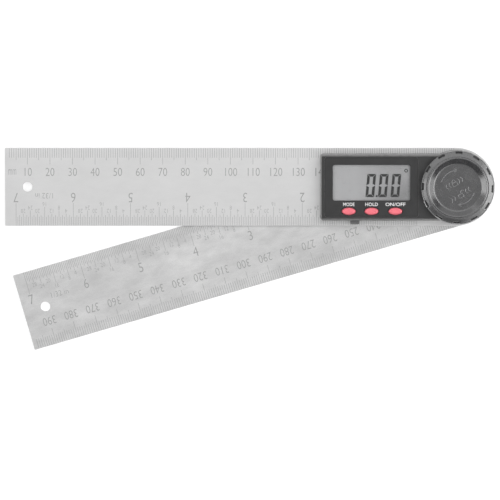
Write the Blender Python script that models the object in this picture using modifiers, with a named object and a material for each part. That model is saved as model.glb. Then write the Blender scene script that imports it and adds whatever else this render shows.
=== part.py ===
"""Digital angle finder with two ruler arms.

The part lies flat, face up. The origin is on the pivot axis, level with the
underside of the lower arm, and +Z points out of the display face. The upper
arm runs along -X. The lower arm turns about +Z under it. Lengths are metres.
"""

import math

import bmesh
import bpy
from mathutils import Matrix

# Arms
arm_length = 0.200
arm_width = 0.0346
arm_thickness = 0.0012
arm_spacing = 0.0008
arm_corner_radius = 0.0003
arm_edge_chamfer = 0.00012
arm_angle = math.radians(16.3)
hang_hole_radius = 0.00215
hang_hole_inset = 0.010

# Clearances
seat_gap = 0.0002
running_gap = 0.0002
film_gap = 0.0001
cut_overrun = 0.001
weld_distance = 0.000001

# Pivot stud, hub and washers
stud_radius = 0.0030
stud_head_overhang = 0.0016
stud_head_thickness = 0.0006
stud_flat_depth = 0.0006
stud_chamfer = 0.0004
hub_wall = 0.0009
hub_shoulder_width = 0.0009
hub_flange_width = 0.0034
rivet_radius = 0.0006
rivet_head_radius = 0.0012
rivet_head_thickness = 0.0004
rivet_count = 3
bush_wall = 0.0008
bush_flange_width = 0.0016
bush_flange_thickness = 0.0006
thrust_washer_width = 0.0052
thrust_washer_gap = 0.0004
rotor_margin = 0.0024
rotor_thickness = 0.0008
encoder_air_gap = 0.0004

# Case
case_reach = 0.0600
case_width = 0.0296
case_boss_overhang = 0.0016
case_corner_radius = 0.0012
case_wall = 0.0012
case_face_thickness = 0.0010
case_edge_width = 0.0013
case_edge_drop = 0.0040
case_end_edge_share = 0.25
base_thickness = 0.0010

# Screws and the bosses that they hold
screw_boss_radius = 0.0015
screw_boss_lift = 0.0002
screw_radius = 0.00075
screw_head_radius = 0.0015
screw_head_height = 0.0007
screw_tip_length = 0.0006
screw_boss_roof = 0.0012
base_boss_roof = 0.0008
screw_head_sink = 0.00005
cross_slot_length = 0.0018
cross_slot_width = 0.0004
cross_slot_depth = 0.0004
corner_screw_inset = 0.0011
inner_screw_gap = 0.0002
lower_screw_gap = 0.0003

# Display
window_left_margin = 0.00365
window_right_margin = 0.00355
window_button_margin = 0.00477
window_top_margin = 0.00336
window_corner_radius = 0.0009
window_fit = 0.00015
window_sink = 0.00025
lcd_margin_long = 0.0010
lcd_margin_short = 0.0004
lcd_thickness = 0.0011
connector_height = 0.0007
connector_width = 0.0014
connector_inset = 0.0018
overlay_inset = 0.0016
overlay_lower_inset = 0.0018
overlay_knob_gap = 0.0011
overlay_thickness = 0.0003
overlay_corner_radius = 0.0010
overlay_fit = 0.00015

# Buttons and the switches under them
button_place_shares = (0.7425, 0.4985, 0.2430)
button_inset = 0.00248
button_half_length = 0.0030
button_half_width = 0.00173
button_flange_margin = 0.0005
button_flange_thickness = 0.0004
button_travel = 0.0006
button_rise = 0.0007
button_crown = 0.0005
button_crown_shares = ((0.55, 0.12), (0.86, 0.5), (1, 1))
button_end_play = 0.0001
switch_length = 0.0040
switch_width = 0.0030

# Battery
cell_radius = 0.0100
cell_thickness = 0.0032
cell_step = 0.0003
cell_edge_round = 0.0003
tray_end_margin = 0.0021
tray_floor = 0.0005
tray_side_wall = 0.00075
tray_front_wall = 0.0018
tray_front_sink = 0.0002
tray_rear_share = 0.72
tray_lift = 0.0003
tray_slot_gap = 0.0002
tab_width = 0.0039
tab_length = 0.0018
tab_height = 0.0024
tab_edge_round = 0.0004
rail_width = 0.0006
rail_height = 0.0010
rail_length = 0.0130
contact_thickness = 0.00015
contact_length = 0.0100
contact_width = 0.0040
side_contact_width = 0.0075
side_contact_foot_share = 0.33

# Circuit board
board_thickness = 0.0007
board_hole_margin = 0.0020
board_disc_margin = 0.0010
post_radius = 0.0012
post_tray_gap = 0.0021
post_rotor_gap = 0.0025
post_offset = 0.0062
blob_radius = 0.0034
blob_height = 0.0011
blob_shares = ((1, 0), (0.8, 0.7), (0.4, 1), (0, 1))

# Lock knob and clamp
knob_gap = 0.0003
knob_radius = 0.0161
knob_height = 0.0041
knob_land_inset = 0.0006
knob_land_width = 0.0026
knob_dish_width = 0.0024
knob_floor_depth = 0.0012
knob_floor_thickness = 0.0008
knob_land_drop = 0.0006
knob_edge_round = 0.0005
knob_wall = 0.0023
knob_hub_wall = 0.0016
knob_ledge = 0.0008
knob_rest_turn = math.radians(-2)
knob_dish_shares = ((0, 0), (0.12, 0.06), (0.88, 0.94))
knob_land_shares = ((0, 0), (0.22, 0.02), (0.60, 0.48), (1, 1))
notch_count = 12
notch_width = 0.0031
notch_depth = 0.0013
recess_margin = 0.0010
recess_depth = 0.0016
recess_floor_thickness = 0.0010
spring_washer_thickness = 0.0003
spring_washer_wave = 0.0001
spring_washer_waves = 3
spring_washer_radius = 0.0082
clamp_washer_radius = 0.0070
clamp_washer_thickness = 0.0006
nut_wall = 0.0016
nut_thickness = 0.0022
nut_fit = 0.00012
thread_gap = 0.0002

# Smoothness
knob_steps = 60
large_steps = 40
small_steps = 20
hole_steps = 12
corner_steps = 4
nut_sides = 6
case_edge_steps = 4
sharp_angle = math.radians(30)

# Heights of the stack, from the underside of the lower arm
upper_arm_bottom = arm_thickness + arm_spacing
upper_arm_top = upper_arm_bottom + arm_thickness
base_bottom = upper_arm_top + seat_gap
base_top = base_bottom + base_thickness
cover_bottom = base_top + seat_gap
tray_bottom = base_top + tray_lift
cell_bottom = tray_bottom + tray_floor + film_gap
cell_top = cell_bottom + cell_thickness
contact_bottom = cell_top + film_gap
board_bottom = contact_bottom + contact_thickness + film_gap
board_top = board_bottom + board_thickness
lcd_bottom = board_top + connector_height + 2 * film_gap
lcd_top = lcd_bottom + lcd_thickness
face_underside = lcd_top + film_gap
cover_top = face_underside + case_face_thickness
knob_bottom = cover_top + knob_gap
knob_top = knob_bottom + knob_height
knob_floor_top = knob_top - knob_floor_depth
knob_pocket_top = knob_floor_top - knob_floor_thickness
recess_floor = cover_top - recess_depth
recess_underside = recess_floor - recess_floor_thickness
spring_bottom = recess_floor + seat_gap + spring_washer_wave
clamp_bottom = spring_bottom + spring_washer_thickness + spring_washer_wave + seat_gap
clamp_top = clamp_bottom + clamp_washer_thickness
nut_bottom = clamp_top + seat_gap
nut_top = nut_bottom + nut_thickness
stud_top = nut_top - thread_gap
base_boss_top = board_bottom - seat_gap
rotor_top = board_bottom - encoder_air_gap
rotor_bottom = rotor_top - rotor_thickness
hub_shoulder = rotor_bottom - seat_gap
hub_top = rotor_top - seat_gap
hub_bottom = arm_thickness + seat_gap
hub_flange_top = upper_arm_bottom - seat_gap

# Radii that follow the stud, the hub and the case
stud_head_radius = stud_radius + stud_head_overhang
stud_hole_radius = stud_radius + running_gap
hub_spigot_radius = stud_hole_radius + hub_wall
hub_radius = hub_spigot_radius + hub_shoulder_width
hub_flange_radius = hub_radius + hub_flange_width
rivet_circle_radius = (hub_radius + hub_flange_radius) / 2
bush_bore_radius = hub_radius + running_gap
bush_radius = bush_bore_radius + bush_wall
bush_flange_radius = bush_radius + bush_flange_width
upper_arm_bore_radius = bush_radius + seat_gap
thrust_washer_bore_radius = hub_flange_radius + thrust_washer_gap
thrust_washer_radius = thrust_washer_bore_radius + thrust_washer_width
screw_hole_radius = screw_radius + seat_gap
half_case = case_width / 2
case_boss_radius = half_case + case_boss_overhang
rotor_radius = case_boss_radius - case_wall - rotor_margin
board_disc_radius = case_boss_radius - case_wall - board_disc_margin
board_hole_radius = stud_radius + board_hole_margin

# Radii of the knob and its nut
knob_land_radius = knob_radius - knob_land_inset
knob_rim_radius = knob_land_radius - knob_land_width
knob_floor_radius = knob_rim_radius - knob_dish_width
knob_skirt_radius = knob_radius - knob_wall
recess_radius = knob_skirt_radius - recess_margin
nut_radius = stud_radius + thread_gap + nut_wall
knob_hub_radius = nut_radius + knob_hub_wall

# The case in plan: battery tray, overlay, buttons and window
inner_half_case = half_case - case_wall
cell_offset = half_case - tray_front_sink - tray_front_wall - seat_gap - cell_radius
tray_half_width = cell_radius + seat_gap + tray_side_wall
tray_reach = case_reach - case_wall - tray_end_margin - rail_width - tray_slot_gap - tray_half_width
tray_inner_side = tray_reach - tray_half_width
tray_front = -half_case + tray_front_sink
tray_rear = -cell_offset + cell_radius * tray_rear_share
tray_top = cell_top
overlay_left = case_reach - overlay_inset
overlay_right = knob_radius + overlay_knob_gap
overlay_top = half_case - overlay_inset
overlay_bottom = half_case - overlay_lower_inset
overlay_length = overlay_left - overlay_right
button_offset = overlay_bottom - button_inset
button_reaches = [overlay_right + overlay_length * share for share in button_place_shares]
window_left = overlay_left - window_left_margin
window_right = overlay_right + window_right_margin
window_bottom = button_offset - window_button_margin
window_top = overlay_top - window_top_margin

# Places of the screws, the board's posts and the chip
hang_hole_place = (hang_hole_inset - arm_length, 0)
side_screw_offset = inner_half_case - screw_boss_radius
corner_screw_reach = case_reach - case_wall - screw_boss_radius - corner_screw_inset
inner_screw_reach = recess_radius + case_wall + inner_screw_gap + screw_boss_radius
lower_screw_reach = tray_inner_side - lower_screw_gap - screw_boss_radius
cover_screw_places = (
    (-corner_screw_reach, side_screw_offset),
    (-inner_screw_reach, side_screw_offset),
    (-inner_screw_reach, -side_screw_offset),
)
base_screw_place = (-lower_screw_reach, -side_screw_offset)
screw_places = (*cover_screw_places, base_screw_place)
front_post_reach = tray_inner_side - post_tray_gap - post_radius
rear_post_reach = rotor_radius + post_rotor_gap + post_radius
post_places = [
    (-reach, offset)
    for reach in (front_post_reach, rear_post_reach)
    for offset in (-post_offset, post_offset)
]
blob_reach = (tray_inner_side + rotor_radius) / 2

# Colours, roughness and metallic values
finishes = {
    "brushed_steel": ((0.62, 0.62, 0.61), 0.32, 1.0),
    "turned_steel": ((0.52, 0.52, 0.53), 0.28, 1.0),
    "spring_steel": ((0.42, 0.43, 0.45), 0.30, 1.0),
    "brass": ((0.72, 0.53, 0.24), 0.30, 1.0),
    "black_case": ((0.050, 0.050, 0.052), 0.42, 0.0),
    "black_face": ((0.045, 0.045, 0.047), 0.30, 0.0),
    "black_knob": ((0.055, 0.055, 0.057), 0.24, 0.0),
    "clear_plastic": ((0.85, 0.87, 0.87), 0.05, 0.0),
    "lcd_glass": ((0.40, 0.42, 0.41), 0.12, 0.0),
    "pink_rubber": ((0.85, 0.12, 0.16), 0.45, 0.0),
    "circuit_green": ((0.05, 0.25, 0.12), 0.40, 0.0),
    "white_nylon": ((0.80, 0.79, 0.74), 0.55, 0.0),
    "grey_rubber": ((0.30, 0.30, 0.30), 0.70, 0.0),
    "switch_black": ((0.03, 0.03, 0.03), 0.45, 0.0),
    "resin_black": ((0.015, 0.015, 0.015), 0.22, 0.0),
}


def clear_scene():
    """Remove whatever the file held before."""
    for old in list(bpy.data.objects):
        bpy.data.objects.remove(old)


def make_collection(name):
    """Make a collection in the scene."""
    collection = bpy.data.collections.new(name)
    bpy.context.scene.collection.children.link(collection)
    return collection


def finish_material(name):
    """Return the Principled material with this name, made on first use."""
    found = bpy.data.materials.get(name)
    if found:
        return found
    colour, roughness, metallic = finishes[name]
    made = bpy.data.materials.new(name)
    made.use_nodes = True
    shader = made.node_tree.nodes["Principled BSDF"]
    shader.inputs["Base Color"].default_value = (*colour, 1)
    shader.inputs["Roughness"].default_value = roughness
    shader.inputs["Metallic"].default_value = metallic
    made.diffuse_color = (*colour, 1)
    return made


def make_axis(name, place, turn=0.0):
    """Make an empty that carries the pieces of one moving body."""
    empty = bpy.data.objects.new(name, None)
    empty.location = place
    empty.rotation_euler = (0, 0, turn)
    empty.empty_display_size = arm_thickness
    parts.objects.link(empty)
    return empty


def add_part(name, mesh, material, parent=None, place=(0, 0, 0)):
    """Add one named piece of the product."""
    mesh.shade_smooth()
    mesh.set_sharp_from_angle(angle=sharp_angle)
    mesh.materials.clear()
    mesh.materials.append(finish_material(material))
    part = bpy.data.objects.new(name, mesh)
    part.location = place
    part.parent = parent
    parts.objects.link(part)
    return part


def add_tool(name, mesh, parent=None):
    """Add a hidden shape that cuts or joins a piece."""
    tool = bpy.data.objects.new(name, mesh)
    tool.parent = parent
    tool.hide_render = True
    tool.display_type = "WIRE"
    tools.objects.link(tool)
    return tool


def combine(part, tool, operation):
    """Give a piece a Boolean with a hidden shape."""
    step = part.modifiers.new(tool.name, "BOOLEAN")
    step.operation = operation
    step.solver = "EXACT"
    step.object = tool


def cut(part, mesh, parent=None):
    """Cut a mesh out of a piece."""
    combine(part, add_tool(mesh.name, mesh, parent), "DIFFERENCE")


def join(part, mesh, parent=None):
    """Fuse a mesh to a piece."""
    combine(part, add_tool(mesh.name, mesh, parent), "UNION")


def mesh_from_shape(name, shape):
    """Turn a bmesh into mesh data with its faces out."""
    bmesh.ops.remove_doubles(shape, verts=shape.verts, dist=weld_distance)
    bmesh.ops.recalc_face_normals(shape, faces=shape.faces)
    mesh = bpy.data.meshes.new(name)
    shape.to_mesh(mesh)
    shape.free()
    return mesh


def mesh_from_object(name, source, lift=0.0):
    """Take the evaluated mesh of a helper object, weld it and drop the helper."""
    bpy.context.scene.collection.objects.link(source)
    bpy.context.view_layer.update()
    depsgraph = bpy.context.evaluated_depsgraph_get()
    raw = bpy.data.meshes.new_from_object(source.evaluated_get(depsgraph))
    shape = bmesh.new()
    shape.from_mesh(raw)
    shape.transform(Matrix.Translation((0, 0, lift)))
    bpy.data.objects.remove(source)
    bpy.data.meshes.remove(raw)
    return mesh_from_shape(name, shape)


def plate(name, outlines, bottom, top):
    """Extrude flat outlines, the first round the plate and the rest its holes."""
    curve = bpy.data.curves.new(name, "CURVE")
    curve.dimensions = "2D"
    curve.fill_mode = "BOTH"
    curve.extrude = (top - bottom) / 2
    for outline in outlines:
        spline = curve.splines.new("POLY")
        spline.points.add(len(outline) - 1)
        for point, (x, y) in zip(spline.points, outline):
            point.co = (x, y, 0, 1)
        spline.use_cyclic_u = True
    source = bpy.data.objects.new(name, curve)
    return mesh_from_object(name, source, (top + bottom) / 2)


def turned(name, profile, steps, closed=False):
    """Turn a profile of (radius, height) points, outer side top to bottom."""
    points = [(radius, 0, height) for radius, height in profile]
    edges = [(i, i + 1) for i in range(len(points) - 1)]
    if closed:
        edges.append((len(points) - 1, 0))
    mesh = bpy.data.meshes.new(name)
    mesh.from_pydata(points, edges, [])
    source = bpy.data.objects.new(name, mesh)
    screw = source.modifiers.new("turn", "SCREW")
    screw.steps = steps
    screw.render_steps = steps
    screw.use_merge_vertices = True
    screw.merge_threshold = weld_distance
    return mesh_from_object(name, source)


def ring(name, inner, outer, bottom, top, steps=large_steps):
    """Turn a plain flat ring."""
    profile = [(outer, top), (outer, bottom), (inner, bottom), (inner, top)]
    return turned(name, profile, steps, closed=True)


def add_box(shape, low, high, turn=0.0):
    """Add a box between two corners, turned about the origin's Z axis."""
    size = [b - a for a, b in zip(low, high)]
    middle = [(a + b) / 2 for a, b in zip(low, high)]
    place = Matrix.Rotation(turn, 4, "Z") @ Matrix.Translation(middle)
    bmesh.ops.create_cube(shape, size=1, matrix=place @ Matrix.Diagonal((*size, 1)))


def box(name, low, high):
    """Make a mesh that is one box."""
    shape = bmesh.new()
    add_box(shape, low, high)
    return mesh_from_shape(name, shape)


def add_cylinder(shape, place, radius, bottom, top, top_radius=None, steps=small_steps):
    """Add an upright cylinder or cone at a place in the plan."""
    middle = Matrix.Translation((place[0], place[1], (bottom + top) / 2))
    bmesh.ops.create_cone(
        shape,
        cap_ends=True,
        segments=steps,
        radius1=radius,
        radius2=radius if top_radius is None else top_radius,
        depth=top - bottom,
        matrix=middle,
    )


def cylinders(name, places, radius, bottom, top, top_radius=None, steps=small_steps):
    """Make a mesh of equal upright cylinders or cones."""
    shape = bmesh.new()
    for place in places:
        add_cylinder(shape, place, radius, bottom, top, top_radius, steps)
    return mesh_from_shape(name, shape)


def arc(centre, radius, start, stop, steps):
    """Return points along an arc, angles in degrees."""
    points = []
    for i in range(steps + 1):
        angle = math.radians(start + (stop - start) * i / steps)
        x = centre[0] + radius * math.cos(angle)
        y = centre[1] + radius * math.sin(angle)
        points.append((x, y))
    return points


def circle(centre, radius, steps=small_steps):
    """Return the points of a circle."""
    return arc(centre, radius, 0, 360, steps)[:-1]


def ellipse(centre, half_length, half_width, steps=large_steps):
    """Return the points of an ellipse that is long in X."""
    stretch = half_width / half_length
    return [(x + centre[0], y * stretch + centre[1]) for x, y in circle((0, 0), half_length, steps)]


def rounded_rectangle(left, right, bottom, top, radius):
    """Return the points of a rectangle with round corners."""
    points = arc((right - radius, bottom + radius), radius, -90, 0, corner_steps)
    points += arc((right - radius, top - radius), radius, 0, 90, corner_steps)
    points += arc((left + radius, top - radius), radius, 90, 180, corner_steps)
    points += arc((left + radius, bottom + radius), radius, 180, 270, corner_steps)
    return points


def arm_outline():
    """Return an arm's outline: square far end, round end about the pivot."""
    half = arm_width / 2
    radius = arm_corner_radius
    points = arc((0, 0), half, -90, 90, large_steps // 2)
    points += arc((radius - arm_length, half - radius), radius, 90, 180, corner_steps)
    points += arc((radius - arm_length, radius - half), radius, 180, 270, corner_steps)
    return points


def case_outline(inset, end_inset=None):
    """Return the case's plan, a bar with a round boss, drawn in by an inset or two."""
    half = half_case - inset
    boss = case_boss_radius - inset
    corner = max(case_corner_radius - inset, case_corner_radius / corner_steps)
    reach = case_reach - (inset if end_inset is None else end_inset)
    meet = 180 - math.degrees(math.asin(half / boss))
    points = arc((0, 0), boss, -meet, meet, large_steps)
    points += arc((corner - reach, half - corner), corner, 90, 180, corner_steps)
    points += arc((corner - reach, corner - half), corner, 180, 270, corner_steps)
    return points


def window_outline(margin):
    """Return the display window's outline, grown by a margin."""
    return rounded_rectangle(
        -window_left - margin,
        -window_right + margin,
        -window_bottom - margin,
        window_top + margin,
        window_corner_radius,
    )


def overlay_outline(margin):
    """Return the face overlay's outline, grown by a margin."""
    return rounded_rectangle(
        -overlay_left - margin,
        -overlay_right + margin,
        -overlay_bottom - margin,
        overlay_top + margin,
        overlay_corner_radius,
    )


def button_outline(reach, margin):
    """Return one button's oval, grown by a margin."""
    centre = (-reach, -button_offset)
    return ellipse(centre, button_half_length + margin, button_half_width + margin, small_steps)


def ease_edges(part, width, segments=1):
    """Take the sharp edges off a piece."""
    bevel = part.modifiers.new("edges", "BEVEL")
    bevel.width = width
    bevel.segments = segments
    bevel.limit_method = "ANGLE"
    bevel.angle_limit = sharp_angle


def stacked(name, levels):
    """Join outlines of equal point counts, each at its height, into a closed mesh."""
    shape = bmesh.new()
    rings = [[shape.verts.new((x, y, height)) for x, y in outline] for outline, height in levels]
    for lower, upper in zip(rings, rings[1:]):
        for i, vertex in enumerate(lower):
            following = (i + 1) % len(lower)
            shape.faces.new((vertex, lower[following], upper[following], upper[i]))
    shape.faces.new(rings[0])
    shape.faces.new(rings[-1])
    return mesh_from_shape(name, shape)


def rivet_places():
    """Return the places of the hub rivets on their circle."""
    return circle((0, 0), rivet_circle_radius, rivet_count)


def make_upper_arm():
    """The arm that carries the case, drilled and countersunk from below."""
    mesh = plate("upper_arm", [arm_outline()], upper_arm_bottom, upper_arm_top)
    arm = add_part("upper_arm", mesh, "brushed_steel")
    ease_edges(arm, arm_edge_chamfer)
    low = upper_arm_bottom - cut_overrun
    high = upper_arm_top + cut_overrun
    shape = bmesh.new()
    add_cylinder(shape, hang_hole_place, hang_hole_radius, low, high)
    add_cylinder(shape, (0, 0), upper_arm_bore_radius, low, high, steps=large_steps)
    for place in screw_places:
        add_cylinder(shape, place, screw_hole_radius, low, high, steps=hole_steps)
    cut(arm, mesh_from_shape("upper_arm_holes", shape))
    slope = (screw_head_radius - screw_radius) / screw_head_height
    high = upper_arm_bottom + screw_head_height + seat_gap
    low_radius = screw_hole_radius + slope * (high - low)
    shape = bmesh.new()
    for place in screw_places:
        add_cylinder(shape, place, low_radius, low, high, screw_hole_radius - film_gap, hole_steps)
    cut(arm, mesh_from_shape("upper_arm_sinks", shape))


def make_lower_arm():
    """The arm that turns under the other, with seats for the flush heads."""
    mesh = plate("lower_arm", [arm_outline()], 0, arm_thickness)
    arm = add_part("lower_arm", mesh, "brushed_steel", pivot_axis)
    ease_edges(arm, arm_edge_chamfer)
    high = arm_thickness + cut_overrun
    shape = bmesh.new()
    add_cylinder(shape, hang_hole_place, hang_hole_radius, -cut_overrun, high)
    add_cylinder(shape, (0, 0), stud_hole_radius, -cut_overrun, high)
    for place in rivet_places():
        add_cylinder(shape, place, rivet_radius + seat_gap, -cut_overrun, high, steps=hole_steps)
    cut(arm, mesh_from_shape("lower_arm_holes", shape), pivot_axis)
    shape = bmesh.new()
    high = stud_head_thickness + seat_gap
    radius = stud_head_radius + seat_gap
    add_cylinder(shape, (0, 0), radius, -cut_overrun, high, steps=large_steps)
    high = rivet_head_thickness + seat_gap
    radius = rivet_head_radius + seat_gap
    for place in rivet_places():
        add_cylinder(shape, place, radius, -cut_overrun, high, steps=hole_steps)
    cut(arm, mesh_from_shape("flush_head_seats", shape), pivot_axis)


def make_stud():
    """The stud: flush head below, threaded end with a flat for the clamp washer."""
    profile = [
        (0, stud_top),
        (stud_radius - stud_chamfer, stud_top),
        (stud_radius, stud_top - stud_chamfer),
        (stud_radius, stud_head_thickness),
        (stud_head_radius, stud_head_thickness),
        (stud_head_radius, 0),
        (0, 0),
    ]
    mesh = turned("pivot_stud", profile, small_steps)
    stud = add_part("pivot_stud", mesh, "turned_steel", pivot_axis)
    flat = box(
        "stud_flat",
        (stud_radius - stud_flat_depth, -stud_radius, recess_floor),
        (stud_radius + cut_overrun, stud_radius, stud_top + cut_overrun),
    )
    cut(stud, flat, pivot_axis)


def make_hub():
    """The hub riveted to the lower arm: bearing journal and seat of the rotor."""
    profile = [
        (hub_spigot_radius, hub_top),
        (hub_spigot_radius, hub_shoulder),
        (hub_radius, hub_shoulder),
        (hub_radius, hub_flange_top),
        (hub_flange_radius, hub_flange_top),
        (hub_flange_radius, hub_bottom),
        (stud_hole_radius, hub_bottom),
        (stud_hole_radius, hub_top),
    ]
    mesh = turned("rotor_hub", profile, large_steps, closed=True)
    hub = add_part("rotor_hub", mesh, "brass", pivot_axis)
    bottom = hub_bottom - cut_overrun
    top = hub_flange_top + seat_gap
    holes = cylinders("hub_rivet_holes", rivet_places(), rivet_radius + film_gap, bottom, top)
    cut(hub, holes, pivot_axis)


def make_rivets():
    """The flush rivets that hold the hub to the lower arm."""
    profile = [
        (0, hub_flange_top),
        (rivet_radius, hub_flange_top),
        (rivet_radius, rivet_head_thickness),
        (rivet_head_radius, rivet_head_thickness),
        (rivet_head_radius, 0),
        (0, 0),
    ]
    mesh = turned("hub_rivet", profile, small_steps // 2)
    for number, (x, y) in enumerate(rivet_places(), 1):
        add_part(f"hub_rivet_{number}", mesh, "turned_steel", pivot_axis, (x, y, 0))


def make_pivot_rings():
    """The bush in the upper arm, the washer between the arms and the rotor."""
    profile = [
        (bush_flange_radius, base_bottom + bush_flange_thickness),
        (bush_flange_radius, base_bottom),
        (bush_radius, base_bottom),
        (bush_radius, upper_arm_bottom),
        (bush_bore_radius, upper_arm_bottom),
        (bush_bore_radius, base_bottom + bush_flange_thickness),
    ]
    add_part("pivot_bush", turned("pivot_bush", profile, large_steps, closed=True), "brass")
    bore = thrust_washer_bore_radius
    washer = ring("thrust_washer", bore, thrust_washer_radius, hub_bottom, hub_flange_top)
    add_part("thrust_washer", washer, "white_nylon", pivot_axis)
    bore = hub_spigot_radius + seat_gap
    rotor = ring("rotor_disc", bore, rotor_radius, rotor_bottom, rotor_top)
    add_part("rotor_disc", rotor, "circuit_green", pivot_axis)


def make_base():
    """The case's floor, with rails for the battery tray and posts for the board."""
    holes = [circle((0, 0), bush_flange_radius + seat_gap, large_steps)]
    holes += [circle(place, screw_hole_radius) for place in cover_screw_places]
    mesh = plate("case_base", [case_outline(0)] + holes, base_bottom, base_top)
    base = add_part("case_base", mesh, "black_case")
    floor = base_top - base_thickness / 2
    shape = bmesh.new()
    for place in post_places:
        add_cylinder(shape, place, post_radius, floor, board_bottom - film_gap, steps=small_steps // 2)
    near = tray_half_width + tray_slot_gap
    for side in (-1, 1):
        sides = sorted((-tray_reach + side * near, -tray_reach + side * (near + rail_width)))
        low = (sides[0], tray_rear - rail_length, floor)
        high = (sides[1], tray_rear, base_top + rail_height)
        add_box(shape, low, high)
    add_cylinder(shape, base_screw_place, screw_boss_radius, floor, base_boss_top)
    join(base, mesh_from_shape("base_posts_and_rails", shape))
    low = base_bottom - cut_overrun
    high = base_boss_top - base_boss_roof
    cut(base, cylinders("base_boss_bore", [base_screw_place], screw_hole_radius, low, high))


def cut_cover_inside(cover):
    """Hollow the cover, lower over the pivot, and leave its bosses."""
    low = cover_bottom - cut_overrun
    hollow = plate("cover_hollow", [case_outline(case_wall)], low, recess_underside)
    cut(cover, hollow)
    room = box(
        "cover_room",
        (case_wall - case_reach, -inner_half_case, recess_underside - cut_overrun),
        (-recess_radius - case_wall, inner_half_case, face_underside),
    )
    cut(cover, room)
    boss_bottom = cover_bottom + screw_boss_lift
    boss_top = face_underside + case_face_thickness / 2
    bosses = cylinders("cover_bosses", cover_screw_places, screw_boss_radius, boss_bottom, boss_top)
    join(cover, bosses)
    high = cover_top - screw_boss_roof
    cut(cover, cylinders("boss_bores", cover_screw_places, screw_hole_radius, low, high))


def cut_cover_face(cover):
    """Open the face for the window, buttons, overlay, knob and stud."""
    high = cover_top + cut_overrun
    overlay_seat = cover_top - overlay_thickness - film_gap
    cut(cover, plate("overlay_seat", [overlay_outline(overlay_fit)], overlay_seat, high))
    low = face_underside - cut_overrun / 2
    cut(cover, plate("window_hole", [window_outline(window_fit)], low, high))
    for number, reach in enumerate(button_reaches, 1):
        hole = plate(f"button_hole_{number}", [button_outline(reach, seat_gap)], low, high)
        cut(cover, hole)
    cut(cover, cylinders("knob_recess", [(0, 0)], recess_radius, recess_floor, high, steps=large_steps))
    through = recess_underside - cut_overrun
    cut(cover, cylinders("stud_hole", [(0, 0)], stud_radius + thread_gap, through, high))


def make_cover():
    """The case's cover: one moulding whose sides curve in to the face, less so at its square end."""
    levels = [(case_outline(0), cover_bottom)]
    for i in range(case_edge_steps + 1):
        angle = math.pi / 2 * i / case_edge_steps
        inset = case_edge_width * (1 - math.cos(angle))
        outline = case_outline(inset, inset * case_end_edge_share)
        levels.append((outline, cover_top - case_edge_drop * (1 - math.sin(angle))))
    cover = add_part("case_cover", stacked("case_cover", levels), "black_case")
    cut_cover_inside(cover)
    cut_cover_face(cover)
    gap = tray_slot_gap
    slot = box(
        "tray_slot",
        (-tray_reach - tray_half_width - gap, -half_case - cut_overrun, cover_bottom - cut_overrun),
        (-tray_reach + tray_half_width + gap, -inner_half_case + cut_overrun, tray_top + gap),
    )
    cut(cover, slot)


def screw_mesh(low, tip):
    """Turn one countersunk screw from its head's face up to its tip."""
    profile = [
        (0, tip),
        (screw_radius / 2, tip),
        (screw_radius, tip - screw_tip_length),
        (screw_radius, low + screw_head_height),
        (screw_head_radius, low),
        (0, low),
    ]
    return turned("case_screw", profile, small_steps // 2)


def make_screws():
    """The countersunk screws from under the upper arm: three in the cover, one in the base."""
    low = upper_arm_bottom + screw_head_sink
    cover_tip = cover_top - screw_boss_roof - seat_gap
    base_tip = base_boss_top - base_boss_roof - seat_gap
    half_length = cross_slot_length / 2
    half_width = cross_slot_width / 2
    for number, (x, y) in enumerate(screw_places, 1):
        tip = base_tip if (x, y) == base_screw_place else cover_tip
        screw = add_part(f"case_screw_{number}", screw_mesh(low, tip), "turned_steel", None, (x, y, 0))
        for turn, reach in enumerate(((half_length, half_width), (half_width, half_length)), 1):
            slot = box(
                f"cross_slot_{number}_{turn}",
                (x - reach[0], y - reach[1], low - cut_overrun),
                (x + reach[0], y + reach[1], low + cross_slot_depth),
            )
            cut(screw, slot)


def make_display():
    """The overlay, the window, the display glass and its rubber connector."""
    bottom = cover_top - overlay_thickness
    holes = [window_outline(0)]
    holes += [button_outline(reach, seat_gap) for reach in button_reaches]
    overlay = plate("face_overlay", [overlay_outline(0)] + holes, bottom, cover_top)
    add_part("face_overlay", overlay, "black_face")
    window = plate("display_window", [window_outline(0)], face_underside, cover_top - window_sink)
    add_part("display_window", window, "clear_plastic")
    left = -window_left - lcd_margin_long
    right = -window_right + lcd_margin_long
    low = -window_bottom - lcd_margin_short
    high = window_top + lcd_margin_short
    glass = box("lcd_panel", (left, low, lcd_bottom), (right, high, lcd_top))
    add_part("lcd_panel", glass, "lcd_glass")
    connector = box(
        "lcd_connector",
        (left + connector_inset, low, board_top + film_gap),
        (right - connector_inset, low + connector_width, lcd_bottom - film_gap),
    )
    add_part("lcd_connector", connector, "grey_rubber")


def make_board():
    """The circuit board, notched for the bosses, with its chip under resin."""
    left = -case_reach + case_wall + seat_gap
    half = inner_half_case - seat_gap
    radius = board_disc_radius
    meet = 180 - math.degrees(math.asin(half / radius))
    outline = arc((0, 0), radius, -meet, meet, large_steps) + [(left, half), (left, -half)]
    hole = circle((0, 0), board_hole_radius, large_steps)
    board = add_part(
        "circuit_board",
        plate("circuit_board", [outline, hole], board_bottom, board_top),
        "circuit_green",
    )
    notch = screw_boss_radius + seat_gap
    low = board_bottom - cut_overrun
    high = board_top + cut_overrun
    cut(board, cylinders("board_notches", cover_screw_places, notch, low, high))
    top = board_bottom - film_gap
    profile = [(0, top)]
    profile += [(blob_radius * out, top - blob_height * down) for out, down in blob_shares]
    blob = turned("processor_blob", profile, small_steps)
    add_part("processor_blob", blob, "resin_black", None, (-blob_reach, 0, 0))


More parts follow.
